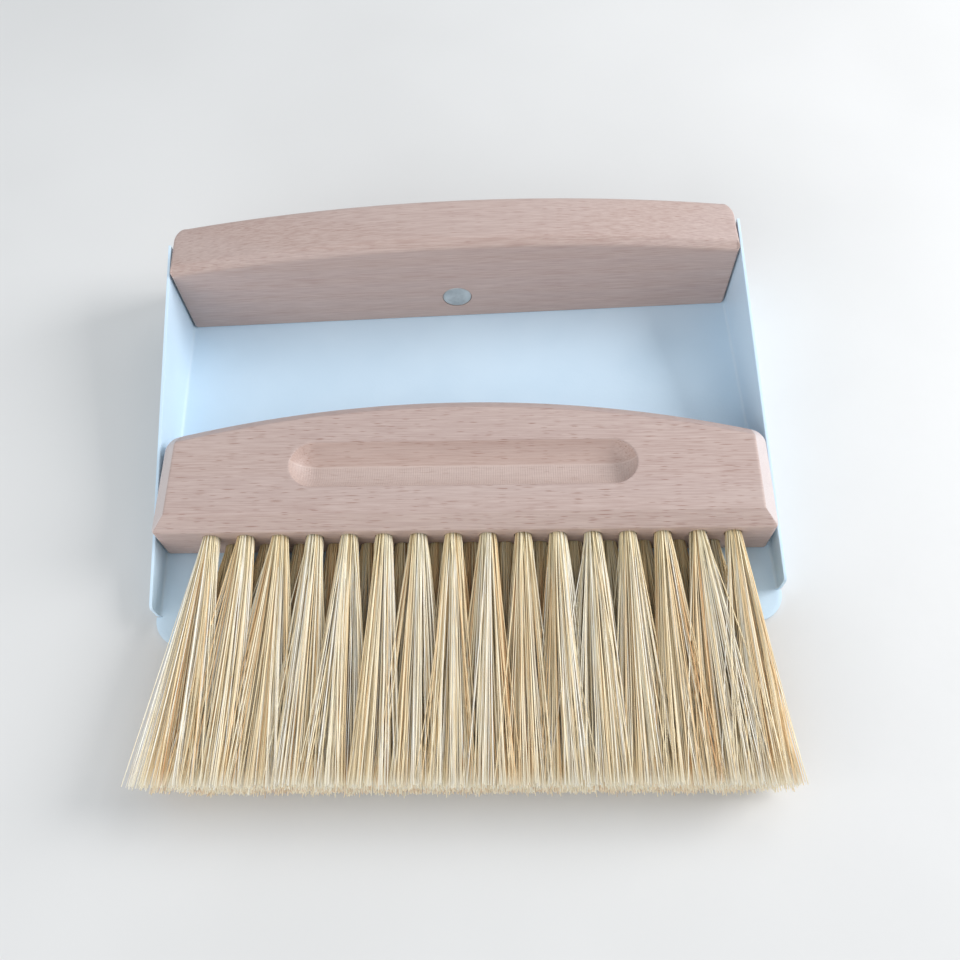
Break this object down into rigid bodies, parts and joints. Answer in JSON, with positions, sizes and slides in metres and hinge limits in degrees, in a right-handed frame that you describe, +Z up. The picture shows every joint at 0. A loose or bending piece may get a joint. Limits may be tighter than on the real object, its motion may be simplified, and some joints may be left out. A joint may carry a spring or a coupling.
{
  "type": "dust pan and brush set",
  "caption": "Folded sheet-metal dust pan with an arched beech handle board, and a beech hand brush with pale fibre tufts that lies in the pan and is held to the handle by disc magnets.",
  "frame": {"origin": "On the surface the pan rests on, under the middle of the handle's front face.", "axes": "X runs across the pan, to the right for someone looking from its open front edge towards the handle; Y runs from the open front edge towards the handle; Z is up."},
  "size_m": [0.23, 0.2256, 0.047],
  "materials": {
    "coated_sheet": "satin pale blue-white powder coat",
    "beech": "fine-sanded bare beech",
    "magnet_plate": "dulled nickel plate",
    "fibre": "pale plant fibre",
    "plain_steel": "bright zinc plate"
  },
  "bodies": {
    "pan": {"pan_tray": "coated_sheet", "pan_handle": "beech", "pan_magnet": "magnet_plate", "handle_screws": "plain_steel"},
    "brush": {"brush_block": "beech", "brush_magnet": "magnet_plate", "tuft_anchors": "plain_steel", "upper_tuft_01": "fibre", "upper_tuft_02": "fibre", "upper_tuft_03": "fibre", "upper_tuft_04": "fibre", "upper_tuft_05": "fibre", "upper_tuft_06": "fibre", "upper_tuft_07": "fibre", "upper_tuft_08": "fibre", "upper_tuft_09": "fibre", "upper_tuft_10": "fibre", "upper_tuft_11": "fibre", "upper_tuft_12": "fibre", "upper_tuft_13": "fibre", "upper_tuft_14": "fibre", "upper_tuft_15": "fibre", "upper_tuft_16": "fibre", "lower_tuft_01": "fibre", "lower_tuft_02": "fibre", "lower_tuft_03": "fibre", "lower_tuft_04": "fibre", "lower_tuft_05": "fibre", "lower_tuft_06": "fibre", "lower_tuft_07": "fibre", "lower_tuft_08": "fibre", "lower_tuft_09": "fibre", "lower_tuft_10": "fibre", "lower_tuft_11": "fibre", "lower_tuft_12": "fibre", "lower_tuft_13": "fibre", "lower_tuft_14": "fibre", "lower_tuft_15": "fibre"}
  },
  "joints": [
    {"name": "brush_slide", "type": "slide", "parent": "pan", "child": "brush", "axis": [0, 1, 0], "range_m": [-0.1, 0.055]}
  ]
}
